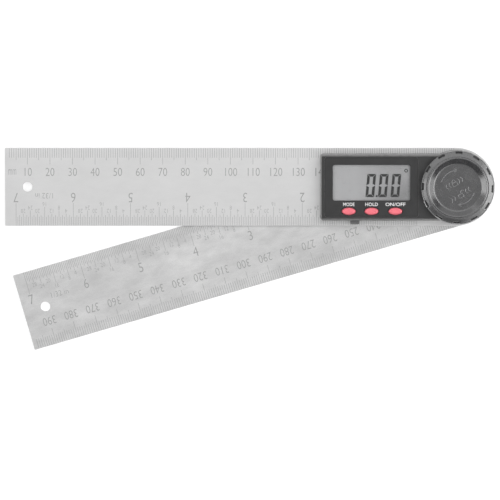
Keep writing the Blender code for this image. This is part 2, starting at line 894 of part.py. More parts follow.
def make_buttons():
    """The three rubber buttons and the switches on the board below them."""
    flange_top = face_underside - seat_gap
    flange_bottom = flange_top - button_flange_thickness
    top = cover_top + button_rise
    names = ("mode", "hold", "power")
    radius = button_half_length
    profile = [(0, top)]
    profile += [(radius * out, top - button_crown * down) for out, down in button_crown_shares]
    profile += [
        (radius, flange_top),
        (radius + button_flange_margin, flange_top),
        (radius + button_flange_margin, flange_bottom),
        (0, flange_bottom),
    ]
    stretch = Matrix.Diagonal((1, button_half_width / button_half_length, 1, 1))
    switch_top = flange_bottom - button_travel - button_end_play
    half_length = switch_length / 2
    half_width = switch_width / 2
    for name, reach in zip(names, button_reaches):
        mesh = turned(f"{name}_button", profile, small_steps + small_steps // 2)
        mesh.transform(stretch)
        place = (-reach, -button_offset, 0)
        add_part(f"{name}_button", mesh, "pink_rubber", None, place)
        switch = box(
            f"{name}_switch",
            (-half_length, -half_width, board_top + film_gap),
            (half_length, half_width, switch_top),
        )
        add_part(f"{name}_switch", switch, "switch_black", None, place)


def make_tray():
    """The sliding battery tray with its pull tab, and the coin cell in it."""
    front = tray_front
    low = (-tray_half_width, front, tray_bottom)
    high = (tray_half_width, tray_rear, tray_top)
    tray = add_part("battery_tray", box("battery_tray", low, high), "black_case", tray_axis)
    pocket_radius = cell_radius + seat_gap
    floor = tray_bottom + tray_floor
    shape = bmesh.new()
    place = (0, -cell_offset)
    add_cylinder(shape, place, pocket_radius, floor, tray_top + cut_overrun, steps=large_steps)
    cut(tray, mesh_from_shape("tray_pocket", shape), tray_axis)
    half = tab_width / 2
    outline = rounded_rectangle(-half, half, front - tab_length, front + tab_length / 2, tab_edge_round)
    middle = (tray_bottom + tray_top) / 2
    tab = plate("tray_tab", [outline], middle - tab_height / 2, middle + tab_height / 2)
    join(tray, tab, tray_axis)
    profile = [
        (0, cell_top),
        (cell_radius - cell_edge_round, cell_top),
        (cell_radius, cell_top - cell_edge_round),
        (cell_radius, cell_bottom + cell_step),
        (cell_radius - cell_step * 2, cell_bottom + cell_step),
        (cell_radius - cell_step * 2, cell_bottom),
        (0, cell_bottom),
    ]
    cell = turned("coin_cell", profile, large_steps)
    add_part("coin_cell", cell, "spring_steel", tray_axis, (0, -cell_offset, 0))


def make_contacts():
    """The two leaves that touch the cell's top and its rim."""
    top = contact_bottom + contact_thickness
    leaf = box(
        "battery_contact_top",
        (-contact_length / 2, -contact_width / 2, contact_bottom),
        (contact_length / 2, contact_width / 2, top),
    )
    place = (-tray_reach, -cell_offset, 0)
    add_part("battery_contact_top", leaf, "spring_steel", None, place)
    half = side_contact_width / 2
    near = cell_radius + seat_gap
    foot_room = inner_half_case + cell_offset - near - seat_gap
    shape = bmesh.new()
    low = cell_bottom + seat_gap
    add_box(shape, (-half, near, low), (half, near + contact_thickness, top - contact_thickness / 2))
    side = add_part(
        "battery_contact_side",
        mesh_from_shape("battery_contact_side", shape),
        "spring_steel",
        None,
        place,
    )
    foot = box(
        "contact_foot",
        (-tray_reach - half, near - cell_offset, contact_bottom),
        (-tray_reach + half, near - cell_offset + foot_room * side_contact_foot_share, top),
    )
    join(side, foot)


def knob_profile():
    """Return the knob's section: domed land, dished floor, hollow underside."""
    slope = knob_rim_radius - knob_floor_radius
    land = knob_land_radius - knob_rim_radius
    profile = [(0, knob_floor_top)]
    for out, up in knob_dish_shares:
        profile.append((knob_floor_radius + slope * out, knob_floor_top + knob_floor_depth * up))
    for out, down in knob_land_shares:
        profile.append((knob_rim_radius + land * out, knob_top - knob_land_drop * down))
    profile += [
        (knob_radius, knob_top - knob_land_drop - knob_edge_round),
        (knob_radius, knob_bottom + knob_edge_round),
        (knob_radius - knob_edge_round, knob_bottom),
        (knob_skirt_radius, knob_bottom),
        (knob_skirt_radius, knob_pocket_top),
        (knob_hub_radius, knob_pocket_top),
        (knob_hub_radius, nut_bottom + film_gap),
        (0, nut_bottom + film_gap),
    ]
    return profile


def make_knob():
    """The lock knob with its grip notches, and the nut moulded into it."""
    body = turned("lock_knob", knob_profile(), knob_steps)
    knob = add_part("lock_knob", body, "black_knob", knob_axis)
    shape = bmesh.new()
    for number in range(notch_count):
        turn = 2 * math.pi * number / notch_count
        low = (knob_radius - notch_depth, -notch_width / 2, knob_bottom + knob_ledge)
        high = (knob_radius + cut_overrun, notch_width / 2, knob_top + cut_overrun)
        add_box(shape, low, high, turn)
    cut(knob, mesh_from_shape("knob_notches", shape), knob_axis)
    pocket = plate(
        "nut_pocket",
        [circle((0, 0), nut_radius + nut_fit, nut_sides)],
        nut_bottom - cut_overrun,
        nut_top + film_gap,
    )
    cut(knob, pocket, knob_axis)
    nut = plate(
        "knob_nut",
        [circle((0, 0), nut_radius, nut_sides), circle((0, 0), stud_radius + thread_gap)],
        nut_bottom,
        nut_top,
    )
    add_part("knob_nut", nut, "brass", knob_axis)


def make_clamp():
    """The wave washer under the clamp, and the clamp washer keyed to the stud."""
    washer = ring(
        "spring_washer",
        stud_radius + thread_gap,
        spring_washer_radius,
        spring_bottom,
        spring_bottom + spring_washer_thickness,
    )
    for point in washer.vertices:
        angle = math.atan2(point.co.y, point.co.x)
        point.co.z += spring_washer_wave * math.sin(spring_washer_waves * angle)
    add_part("spring_washer", washer, "spring_steel")
    bore = stud_radius + thread_gap
    chord = stud_radius - stud_flat_depth + thread_gap
    start = math.degrees(math.acos(chord / bore))
    keyed = arc((0, 0), bore, start, 360 - start, small_steps)
    rim = circle((0, 0), clamp_washer_radius, large_steps)
    clamp = plate("clamp_washer", [rim, keyed], clamp_bottom, clamp_top)
    add_part("clamp_washer", clamp, "turned_steel", pivot_axis)


clear_scene()
parts = make_collection("digital_angle_finder")
tools = make_collection("shaping_tools")
pivot_axis = make_axis("arm_pivot_axis", (0, 0, 0), arm_angle)
knob_axis = make_axis("knob_turn_axis", (0, 0, 0), knob_rest_turn)
tray_axis = make_axis("battery_tray_axis", (-tray_reach, 0, 0))

make_upper_arm()
make_lower_arm()
make_stud()
make_hub()
make_rivets()
make_pivot_rings()
make_base()
make_cover()
make_screws()
make_display()
make_board()
make_buttons()
make_tray()
make_contacts()
make_knob()
make_clamp()
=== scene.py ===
"""Looks of the digital angle finder: fine surfaces, scales, print, materials, light and camera.

Lengths are metres, in the part's own frame: the origin is on the pivot at the underside
of the lower arm, the upper arm runs along -X and +Z points out of the display face.
"""

import math

import bmesh
import bpy
from mathutils import Matrix, Vector


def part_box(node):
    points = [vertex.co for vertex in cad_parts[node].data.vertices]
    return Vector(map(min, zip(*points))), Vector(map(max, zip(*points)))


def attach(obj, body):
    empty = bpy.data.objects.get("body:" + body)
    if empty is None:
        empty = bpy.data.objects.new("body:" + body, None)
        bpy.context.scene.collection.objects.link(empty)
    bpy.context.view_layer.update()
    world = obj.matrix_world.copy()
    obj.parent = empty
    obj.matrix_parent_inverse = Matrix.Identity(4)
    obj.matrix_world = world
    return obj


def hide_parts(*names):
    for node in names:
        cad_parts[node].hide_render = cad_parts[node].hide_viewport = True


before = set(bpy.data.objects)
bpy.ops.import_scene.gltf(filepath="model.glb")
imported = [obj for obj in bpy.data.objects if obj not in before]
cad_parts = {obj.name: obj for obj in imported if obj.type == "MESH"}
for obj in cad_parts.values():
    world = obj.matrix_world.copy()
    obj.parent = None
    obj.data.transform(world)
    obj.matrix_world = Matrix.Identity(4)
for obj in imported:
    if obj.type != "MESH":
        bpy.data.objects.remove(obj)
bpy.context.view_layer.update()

# Arms
arm_corner_radius = 0.0003
arm_edge = 0.00014
arm_edge_steps = 2
arm_turn = math.radians(16.3)
hang_hole_radius = 0.00215
hang_hole_inset = 0.010
upper_bore_radius = 0.0062
screw_seat_radius = 0.00165
stud_seat_radius = 0.0048
rivet_seat_radius = 0.0014
rivet_circle_radius = 0.0067
rivet_count = 3
hub_rivets = [f"hub_rivet_{number}" for number in range(1, rivet_count + 1)]
case_screws = [f"case_screw_{number}" for number in range(1, 5)]

# Scales on the arms
mark_depth = 0.00002
mark_rise = 0.000012
tick_width = 0.00016
tick_edge_gap = 0.0002
millimetre = 0.001
first_tick = 2
figure_step = 10
last_upper_figure = 140
last_lower_figure = 180
millimetre_ticks = {10: 0.0072, 5: 0.0053, 1: 0.0042}
inch = 0.0254
inch_zero = 0.0173
inch_parts = 32
fraction_step = 4
inch_ticks = {32: 0.0099, 16: 0.0082, 8: 0.0066, 4: 0.0052, 2: 0.0045, 1: 0.0038}
last_inch = 7
figure_height = 0.0036
figure_inset = 0.0107
figure_condense = 0.80
inch_figure_height = 0.0042
inch_figure_inset = 0.01255
fraction_height = 0.0018
fraction_gap = 0.0014
unit_height = 0.0024
unit_width = 0.0034
unit_place = 0.1967
note_width = 0.0078
note_place = 0.1824
note_inset = 0.0133
stroke_gain = -0.00003
text_resolution = 3

# Case
case_half_width = 0.0148
case_corner_radius = 0.0012
case_edge_width = 0.0013
case_edge_drop = 0.0040
case_end_edge_share = 0.25
case_wall = 0.0012
bottom_edge = 0.0002
overlay_corner_radius = 0.0010
overlay_edge = 0.00008
overlay_seat_gap = 0.00010
window_corner_radius = 0.0009
window_edge = 0.00012
window_edge_steps = 3
window_gap = 0.00010
button_gap = 0.00022
button_flange = 0.0005
knob_recess_radius = 0.0126
knob_recess_depth = 0.0016
stud_hole_radius = 0.0032

# Buttons
button_steps = 64
button_dome = 0.00055
button_dome_rows = 8
button_dome_power = 0.55

# Print on the face
print_height = 0.00154
print_rise = 0.00002
print_gain = 0.00002
print_offset = 0.00305
labels = {
    "mode_button": ("MODE", 0.0050),
    "hold_button": ("HOLD", 0.0056),
    "power_button": ("ON/OFF", 0.0088),
}

# Figures on the display
digit_height = 0.01020
digit_width = 0.00385
digit_pitch = 0.00553
digit_stroke = 0.00120
digit_gap = 0.00010
digit_slant = math.radians(5)
first_digit_x = -0.04042
digits_bottom = -0.00430
point_size = 0.00085
point_x = -0.03590
degree_place = (-0.0225, 0.00735)
degree_radius = 0.00080
degree_stroke = 0.00036
ink_rise = 0.00003

# Knob
knob_sectors = 12
knob_first_notch = math.radians(-2)
notch_half_width = 0.00155
notch_depth = 0.0011
notch_ledge = 0.0008
ledge_edge = 0.00035
notch_edge = 0.00016
land_drop = 0.0006
land_ease = 0.3
land_inset = 0.0006
land_flat_radius = 0.0134
edge_drop = 0.0005
bead_radius = 0.01290
bead_height = 0.00009
bead_half_width = 0.00020
groove_radius = 0.01330
groove_depth = 0.00005
groove_half_width = 0.00012
rim_radius = 0.0126
dish_floor_radius = 0.0105
dish_depth = 0.0012
floor_shares = (0.35, 0.7, 0.93)
skirt_wall = 0.0023
skirt_depth = 0.0021
knob_hub_drop = 0.0001
bevel_share = 0.3
wall_shares = (0.75, 0.6, 0.45, 0.3, 0.2, 0.1)
dish_steps = 14
land_steps = 24
rim_steps = 6
notch_columns = 7
land_columns = 16
# How far across its edge, and the share of the notch's depth there
notch_sides = ((0.0, 0.9), (0.4, 0.1))

# Marks on the knob's floor
knob_mark_height = 0.00020
knob_mark_radius = 0.00022
rib_resolution = 3
arrow_radius = 0.0076
arrow_arcs = ((162, 92), (-18, -88))
arrow_steps = 28
barb_length = 0.0016
barb_turn = 150
padlock_half = 0.0011
padlock_low = -0.0014
padlock_high = 0.0002
padlock_places = ((-0.0015, 0.0020), (0.0012, -0.0031))
shackle_level = 0.0007
shackle_share = 0.65
shackle_steps = 10
open_shift = 1.2
chevron_places = (0.0026, 0.0041)
chevron_depth = 0.0007
chevron_half = 0.0012
marks_turn = math.radians(30)

# Smoothness
sharp_angle = math.radians(30)
round_steps = 96
hole_steps = 64
corner_steps = 8
case_edge_rows = 12

# Materials
plastic_ior = 1.62
# The lighter colour for rubbing wear and a painted highlight on the case's sloped edges, and the
# heights between which it fades in
case_rub_and_highlight = ((0.165, 0.165, 0.165), 0.0080, 0.0100)

# Camera, floor and backdrop
camera_aim = (-0.0913, -0.02807)
camera_distance = 1.40
camera_lean = math.radians(2.8)
view_width = 0.222
sensor_width = 36.0
clip_start = 0.01
floor_glow = 0.59
floor_fade = (0.3, 0.9)
floor_half_size = 3.0
floor_gap = 0.00005
world_level = 0.11
backdrop_top = 0.5


def linear(grey):
    """Turn an even display grey of 0 to 1 into the linear value that a shader takes."""
    return ((grey + 0.055) / 1.055) ** 2.4


def set_inputs(node, values):
    """Give inputs of a shader node their values, by name."""
    for name, value in values.items():
        node.inputs[name].default_value = value


def math_value(nodes, links, operation, first, second):
    """Combine two shader values with a math node."""
    node = nodes.new("ShaderNodeMath")
    node.operation = operation
    links.new(first, node.inputs[0])
    links.new(second, node.inputs[1])
    return node.outputs[0]


class Finish:
    """A Principled material and the nodes that vary it over the surface."""

    def __init__(self, name, colour, roughness, metallic=0.0, turn=0.0):
        self.material = bpy.data.materials.new(name)
        self.material.use_nodes = True
        self.nodes = self.material.node_tree.nodes
        self.links = self.material.node_tree.links
        self.shader = self.nodes["Principled BSDF"]
        self.colour = colour
        values = {"Base Color": (*colour, 1), "Roughness": roughness, "Metallic": metallic}
        set_inputs(self.shader, values)
        self.turn = turn
        self.bump = None

    def noise(self, size, stretch=1.0, detail=3.0, roughness=0.55):
        """Noise with features of a size in metres, drawn out along the piece's X."""
        where = self.nodes.new("ShaderNodeTexCoord")
        turned = self.nodes.new("ShaderNodeVectorRotate")
        turned.rotation_type = "Z_AXIS"
        turned.inputs["Angle"].default_value = -self.turn
        mapping = self.nodes.new("ShaderNodeMapping")
        mapping.inputs["Scale"].default_value = (1 / (size * stretch), 1 / size, 1 / size)
        noise = self.nodes.new("ShaderNodeTexNoise")
        set_inputs(noise, {"Scale": 1.0, "Detail": detail, "Roughness": roughness})
        self.links.new(where.outputs["Object"], turned.inputs["Vector"])
        self.links.new(turned.outputs["Vector"], mapping.inputs["Vector"])
        self.links.new(mapping.outputs["Vector"], noise.inputs["Vector"])
        return noise.outputs["Fac"]

    def spread(self, value, low, high, start=0.3, stop=0.7):
        """Map a noise value onto a range."""
        mapped = self.nodes.new("ShaderNodeMapRange")
        set_inputs(mapped, {"From Min": start, "From Max": stop, "To Min": low, "To Max": high})
        self.links.new(value, mapped.inputs["Value"])
        return mapped.outputs["Result"]

    def vary_colour(self, value, low, high):
        """Scale the colour between two factors; later calls stack on earlier ones."""
        mix = self.nodes.new("ShaderNodeMix")
        mix.data_type = "RGBA"
        mix.blend_type = "MULTIPLY"
        mix.inputs["Factor"].default_value = 1.0
        base = self.shader.inputs["Base Color"]
        if base.is_linked:
            self.links.new(base.links[0].from_socket, mix.inputs["A"])
        else:
            mix.inputs["A"].default_value = (*self.colour, 1)
        self.links.new(self.spread(value, low, high), mix.inputs["B"])
        self.links.new(mix.outputs["Result"], base)

    def vary_roughness(self, value, low, high):
        """Drive the roughness with a noise value."""
        self.links.new(self.spread(value, low, high), self.shader.inputs["Roughness"])

    def add_bump(self, value, height):
        """Raise the surface by a height in metres; later calls stack on earlier ones."""
        bump = self.nodes.new("ShaderNodeBump")
        set_inputs(bump, {"Strength": 1.0, "Distance": height})
        self.links.new(value, bump.inputs["Height"])
        if self.bump:
            self.links.new(self.bump.outputs["Normal"], bump.inputs["Normal"])
        self.links.new(bump.outputs["Normal"], self.shader.inputs["Normal"])
        self.bump = bump

    def rub_edges(self, colour, low, high):
        """Paint a lighter colour where the surface isn't level, fading in between two heights: rubbing
        wear and a painted highlight.
        """
        normal = self.nodes.new("ShaderNodeNewGeometry").outputs["Normal"]
        place = self.nodes.new("ShaderNodeTexCoord").outputs["Object"]
        masks = [self.spread(self.noise(0.0012, 1.0, 4.0), 0.65, 1.15)]
        for vector, start, stop in ((normal, 0.99, 0.78), (place, low, high)):
            parts = self.nodes.new("ShaderNodeSeparateXYZ")
            self.links.new(vector, parts.inputs["Vector"])
            masks.append(self.spread(parts.outputs["Z"], 0.0, 1.0, start, stop))
        value = masks[0]
        for mask in masks[1:]:
            value = math_value(self.nodes, self.links, "MULTIPLY", value, mask)
        mix = self.nodes.new("ShaderNodeMix")
        mix.data_type = "RGBA"
        base = self.shader.inputs["Base Color"]
        self.links.new(base.links[0].from_socket, mix.inputs["A"])
        mix.inputs["B"].default_value = (*colour, 1)
        self.links.new(value, mix.inputs["Factor"])
        self.links.new(mix.outputs["Result"], base)


def brushed_steel(name, level, mottle, turn=0.0):
    """Pale stainless rule steel: fine grain along the arm, faint smears and mottling."""
    finish = Finish(name, (level, level, level), 0.40, 1.0, turn)
    finish.vary_colour(finish.noise(0.0035, 2.0, 4.0, 0.65), 1 - mottle, 1 + mottle)
    finish.vary_colour(finish.noise(0.020, 2.5, 2.0), 1 - mottle, 1 + mottle)
    finish.vary_colour(finish.noise(0.0004, 1.0, 2.0), 1 - mottle * 0.7, 1 + mottle * 0.7)
    finish.vary_roughness(finish.noise(0.006, 3.0, 4.0, 0.7), 0.38, 0.42)
    finish.add_bump(finish.noise(0.00012, 40.0, 2.0), 0.0000012)
    finish.add_bump(finish.noise(0.0012, 1.5, 3.0), 0.0000010)
    return finish.material


def turned_metal(name, colour, roughness):
    """Machined metal with fine grain and a little dulling."""
    finish = Finish(name, colour, roughness, 1.0)
    finish.vary_colour(finish.noise(0.0009, 1.0, 4.0), 0.82, 1.08)
    finish.vary_roughness(finish.noise(0.0005, 1.0, 3.0), roughness - 0.06, roughness + 0.10)
    finish.add_bump(finish.noise(0.00015, 4.0, 2.0), 0.000002)
    return finish.material


def moulded_plastic(name, colour, roughness, grain, grain_height, specular=0.5, rub_and_highlight=None):
    """Moulded plastic with spark-eroded grain, faint flow marks and, where asked, handling wear with a
    painted highlight on its sloped edges.
    """
    finish = Finish(name, colour, roughness)
    finish.vary_colour(finish.noise(0.0040, 1.0, 4.0), 0.90, 1.10)
    finish.vary_roughness(finish.noise(0.0025, 1.0, 4.0), roughness - 0.05, roughness + 0.07)
    finish.add_bump(finish.noise(grain, 1.0, 2.0), grain_height)
    finish.add_bump(finish.noise(0.0060, 1.0, 2.0), 0.000008)
    set_inputs(finish.shader, {"Specular IOR Level": specular, "IOR": plastic_ior})
    # Wear and a painted highlight: a lighter colour on the sloped edges near the top
    if rub_and_highlight:
        finish.rub_edges(*rub_and_highlight)
    return finish.material


def rubber_material(name, colour, roughness):
    """Smooth silicone with a soft skin and fine dust."""
    finish = Finish(name, colour, roughness)
    finish.vary_colour(finish.noise(0.0011, 1.0, 3.0), 0.95, 1.04)
    finish.vary_roughness(finish.noise(0.0006, 1.0, 3.0), roughness - 0.06, roughness + 0.08)
    finish.add_bump(finish.noise(0.00012, 1.0, 2.0), 0.000003)
    values = {"Subsurface Weight": 0.05, "Subsurface Radius": (0.001, 0.0004, 0.0003)}
    set_inputs(finish.shader, values)
    return finish.material


def board_material():
    """Green solder mask with copper tracks showing through as a lighter weave."""
    finish = Finish("solder_mask", (0.03, 0.17, 0.08), 0.30)
    finish.vary_colour(finish.noise(0.0012, 3.0, 1.0), 0.75, 1.35)
    finish.vary_roughness(finish.noise(0.0008, 1.0, 3.0), 0.22, 0.40)
    finish.add_bump(finish.noise(0.0006, 2.0, 1.0), 0.000012)
    return finish.material


def lcd_material():
    """Grey reflective display glass with painted shade: darker to the right and most at its lower
    right.
    """
    finish = Finish("lcd_glass", (0.30, 0.30, 0.305), 0.30)
    where = finish.nodes.new("ShaderNodeTexCoord")
    parts = finish.nodes.new("ShaderNodeSeparateXYZ")
    finish.links.new(where.outputs["Object"], parts.inputs["Vector"])
    low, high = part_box("lcd_panel")
    # Painted shade: the colour darkens across the panel and most at its lower right corner
    along = finish.spread(parts.outputs["X"], 0.0, 1.0, low.x, high.x)
    finish.vary_colour(along, 1.11, 0.88)
    down = finish.spread(parts.outputs["Y"], 1.0, 0.0, low.y, high.y)
    corner = math_value(finish.nodes, finish.links, "MULTIPLY", along, down)
    finish.vary_colour(corner, 1.02, 0.74)
    finish.vary_colour(finish.noise(0.0030, 1.0, 3.0), 0.985, 1.015)
    finish.vary_roughness(finish.noise(0.0010, 1.0, 3.0), 0.26, 0.36)
    finish.add_bump(finish.noise(0.00010, 1.0, 2.0), 0.0000010)
    return finish.material


def window_material():
    """Clear acrylic over the display: a thin veil with a polished surface."""
    finish = Finish("clear_acrylic", (0.60, 0.62, 0.62), 0.06)
    finish.vary_roughness(finish.noise(0.0030, 2.0, 4.0), 0.04, 0.10)
    finish.add_bump(finish.noise(0.0080, 1.0, 1.0), 0.000004)
    finish.shader.inputs["Alpha"].default_value = 0.02
    return finish.material


def etched_mark(name, level, gloss=0.5):
    """Ink in an etched or printed mark, a little uneven."""
    finish = Finish(name, (level, level, level), 0.55)
    finish.shader.inputs["Specular IOR Level"].default_value = gloss
    finish.vary_colour(finish.noise(0.0008, 1.0, 3.0), 0.85, 1.12)
    finish.vary_roughness(finish.noise(0.0003, 1.0, 2.0), 0.45, 0.65)
    finish.add_bump(finish.noise(0.00008, 1.0, 2.0), 0.000002)
    return finish.material


def make_materials():
    """Every finish by name."""
    return {
        "upper_steel": brushed_steel("upper_rule_steel", 0.715, 0.022),
        "lower_steel": brushed_steel("lower_rule_steel", 0.665, 0.095, arm_turn),
        "etch": etched_mark("etched_marks", linear(0.60)),
        "turned": turned_metal("turned_steel", (0.55, 0.55, 0.56), 0.30),
        "spring": turned_metal("nickel_spring", (0.62, 0.61, 0.58), 0.24),
        "brass": turned_metal("machined_brass", (0.72, 0.53, 0.24), 0.28),
        # The case's sloped top edges get a lighter colour: wear and a painted highlight
        "case": moulded_plastic("case_plastic", (0.0105, 0.0105, 0.011), 0.36, 0.00022, 0.000006,
                                0.42, case_rub_and_highlight),
        "film": moulded_plastic("face_film", (0.0095, 0.0095, 0.010), 0.34, 0.00010, 0.000002, 0.42),
        "knob": moulded_plastic("knob_plastic", (0.018, 0.018, 0.0195), 0.23, 0.00030, 0.000002, 1.0),
        # Duller, less glossy plastic for the notch ledges, so that they read dark: painted shade
        "knob_notch": moulded_plastic("notch_shade_plastic", (0.018, 0.018, 0.019), 0.50,
                                      0.00020, 0.000006, 0.30),
        "window": window_material(),
        "lcd": lcd_material(),
        "ink": etched_mark("display_ink", linear(0.17), 0.10),
        "print": etched_mark("white_print", linear(0.88)),
        "button": rubber_material("pink_silicone", (0.79, 0.157, 0.196), 0.42),
        "grey_rubber": rubber_material("grey_elastomer", (0.22, 0.22, 0.22), 0.65),
        "board": board_material(),
        "tray": moulded_plastic("tray_plastic", (0.086, 0.086, 0.087), 0.45, 0.00022, 0.000008),
        # Lighter plastic on the raised marks: wear on their tops and a painted highlight
        "knob_mark": moulded_plastic("worn_and_highlighted_knob_plastic", (0.105, 0.105, 0.108), 0.23,
                                     0.00030, 0.000002, 1.0),
        "resin": moulded_plastic("black_resin", (0.015, 0.015, 0.015), 0.25, 0.00040, 0.000010),
        "nylon": moulded_plastic("white_nylon", (0.78, 0.77, 0.72), 0.52, 0.00020, 0.000006),
    }


def finished_mesh(shape, name):
    """Close a bmesh: faces out and smooth, edges sharp where the surface turns."""
    bmesh.ops.recalc_face_normals(shape, faces=shape.faces)
    for face in shape.faces:
        face.smooth = True
    for edge in shape.edges:
        if len(edge.link_faces) == 2 and edge.calc_face_angle() > sharp_angle:
            edge.smooth = False
    mesh = bpy.data.meshes.new(name)
    shape.to_mesh(mesh)
    shape.free()
    return mesh


def add_piece(name, mesh, material, body, slot, *stands_for):
    """Add a piece that rides on a body and, where named, stands for CAD nodes."""
    mesh.materials.clear()
    mesh.materials.append(materials[material])
    piece = bpy.data.objects.new(name, mesh)
    bpy.context.scene.collection.objects.link(piece)
    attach(piece, body)
    if stands_for:
        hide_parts(*stands_for)


def add_shape(name, shape, *rest):
    """Finish a bmesh and add it as a piece; the rest is what add_piece takes after the mesh."""
    add_piece(name, finished_mesh(shape, name), *rest)


def arc(centre, radius, start, stop, steps):
    """Points along an arc, angles in degrees."""
    points = []
    for i in range(steps + 1):
        angle = math.radians(start + (stop - start) * i / steps)
        points.append((centre[0] + radius * math.cos(angle), centre[1] + radius * math.sin(angle)))
    return points


def circle(centre, radius, steps=hole_steps):
    """Points of a circle."""
    return arc(centre, radius, 0, 360, steps)[:-1]


def ellipse(centre, half_length, half_width, steps=hole_steps):
    """Points of an ellipse that is long in X."""
    unit = circle((0, 0), 1, steps)
    return [(centre[0] + x * half_length, centre[1] + y * half_width) for x, y in unit]


def rounded_rectangle(low, high, radius, inset=0.0):
    """Points of a rectangle with round corners, drawn in by an inset."""
    left, bottom = low[0] + inset, low[1] + inset
    right, top = high[0] - inset, high[1] - inset
    radius = max(radius - inset, radius / corner_steps)
    points = arc((right - radius, bottom + radius), radius, -90, 0, corner_steps)
    points += arc((right - radius, top - radius), radius, 0, 90, corner_steps)
    points += arc((left + radius, top - radius), radius, 90, 180, corner_steps)
    points += arc((left + radius, bottom + radius), radius, 180, 270, corner_steps)
    return points


def arm_outline(inset, length, half):
    """An arm's outline: square far end, round end about the pivot."""
    radius = arm_corner_radius
    corner = radius - inset
    points = arc((0, 0), half - inset, -90, 90, round_steps)
    points += arc((radius - length, half - radius), corner, 90, 180, corner_steps)
    points += arc((radius - length, radius - half), corner, 180, 270, corner_steps)
    return points


def case_outline(inset, reach, boss, end_inset=None):
    """The case's plan: a bar with a round boss. The inset can differ at the square end."""
    end = inset if end_inset is None else end_inset
    half = case_half_width - inset
    radius = boss - inset
    corner = max(case_corner_radius - inset, case_corner_radius / corner_steps)
    meet = 180 - math.degrees(math.asin(half / radius))
    points = arc((0, 0), radius, -meet, meet, round_steps)
    points += arc((end + corner - reach, half - corner), corner, 90, 180, corner_steps)
    points += arc((end + corner - reach, corner - half), corner, 180, 270, corner_steps)
    return points


def ring_edges(shape, ring):
    """The edges round a closed ring of vertices."""
    pairs = zip(ring, ring[1:] + ring[:1])
    return [shape.edges.get(pair) or shape.edges.new(pair) for pair in pairs]


def join_rings(shape, rings):
    """Join each ring of vertices to the next with faces."""
    for lower, upper in zip(rings, rings[1:]):
        for i, vertex in enumerate(lower):
            j = (i + 1) % len(lower)
            shape.faces.new((vertex, lower[j], upper[j], upper[i]))


def skin(shape, stack):
    """Join a stack of (outline, height) rings with faces; return the first and last ring's edges."""
    rings = [[shape.verts.new((x, y, height)) for x, y in outline] for outline, height in stack]
    join_rings(shape, rings)
    return ring_edges(shape, rings[0]), ring_edges(shape, rings[-1])


def cap(shape, edges):
    """Fill a flat end that may have holes, with a crease round it."""
    bmesh.ops.triangle_fill(shape, use_beauty=True, edges=edges)
    for edge in edges:
        edge.smooth = False


def rounded_stack(outline, bottom, top, width, steps):
    """Rings of a plate whose edges are rounded; outline is a function of the inset."""
    low, high = [], []
    for i in range(steps + 1):
        angle = math.pi / 2 * i / steps
        ring = outline(width * (1 - math.sin(angle)))
        drop = width * (1 - math.cos(angle))
        low.append((ring, bottom + drop))
        high.insert(0, (ring, top - drop))
    return low + high


def plate(shape, stack, holes=()):
    """Make a solid plate from a stack of rings and the stacks of its holes."""
    low, high = skin(shape, stack)
    for hole in holes:
        hole_low, hole_high = skin(shape, hole)
        low += hole_low
        high += hole_high
    cap(shape, low)
    cap(shape, high)


def hole_stack(centre, radius, bottom, top, edge):
    """Rings of a round hole with small rounded rims."""

    def outline(inset):
        return circle(centre, radius + edge - inset)

    return [
        (outline(0), bottom),
        (outline(edge), bottom + edge),
        (outline(edge), top - edge),
        (outline(0), top),
    ]


def hole_rings(centre, radius, bottom, top):
    """Rings of a plain round hole."""
    return [(circle(centre, radius, round_steps), bottom), (circle(centre, radius, round_steps), top)]


def make_arm(name, node, body, material, turn, holes):
    """A rule arm with softened edges and its holes."""
    low, high = arm_box
    bottom, top = arm_heights[node]

    def outline(inset):
        return arm_outline(inset, -low.x, high.x)

    shape = bmesh.new()
    hang = (low.x + hang_hole_inset, 0)
    stacks = [hole_stack(hang, hang_hole_radius, bottom, top, arm_edge)]
    stacks += [hole_stack(place, radius, bottom, top, arm_edge / 2) for place, radius in holes]
    plate(shape, rounded_stack(outline, bottom, top, arm_edge, arm_edge_steps), stacks)
    shape.transform(Matrix.Rotation(turn, 4, "Z"))
    add_shape(name, shape, material, body, "arm_steel", node)


def centre_of(node):
    """The middle of a CAD node in plan."""
    low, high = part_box(node)
    return (low.x + high.x) / 2, (low.y + high.y) / 2


def make_arms():
    """Both arms."""
    screws = [centre_of(node) for node in case_screws]
    holes = [((0, 0), upper_bore_radius)] + [(place, screw_seat_radius) for place in screws]
    make_arm("upper_rule", "upper_arm", "display_arm", "upper_steel", 0.0, holes)
    holes = [((0, 0), stud_seat_radius)]
    holes += [(place, rivet_seat_radius) for place in circle((0, 0), rivet_circle_radius, rivet_count)]
    make_arm("lower_rule", "lower_arm", "swing_arm", "lower_steel", arm_turn, holes)


def add_tick(shape, x, side, length, half):
    """One graduation from an arm's edge inward; side is +1 or -1 for the edge."""
    near = half - tick_edge_gap
    middle = side * (near - length / 2)
    size = Matrix.Diagonal((tick_width, length, mark_depth + mark_rise, 1))
    place = Matrix.Translation((x, middle, (mark_rise - mark_depth) / 2))
    bmesh.ops.create_cube(shape, size=1, matrix=place @ size)


def curve_mesh(curve):
    """The mesh that a curve or a text makes."""
    source = bpy.data.objects.new(curve.name, curve)
    bpy.context.scene.collection.objects.link(source)
    bpy.context.view_layer.update()
    final = source.evaluated_get(bpy.context.evaluated_depsgraph_get())
    mesh = bpy.data.meshes.new_from_object(final)
    bpy.data.objects.remove(source)
    return mesh


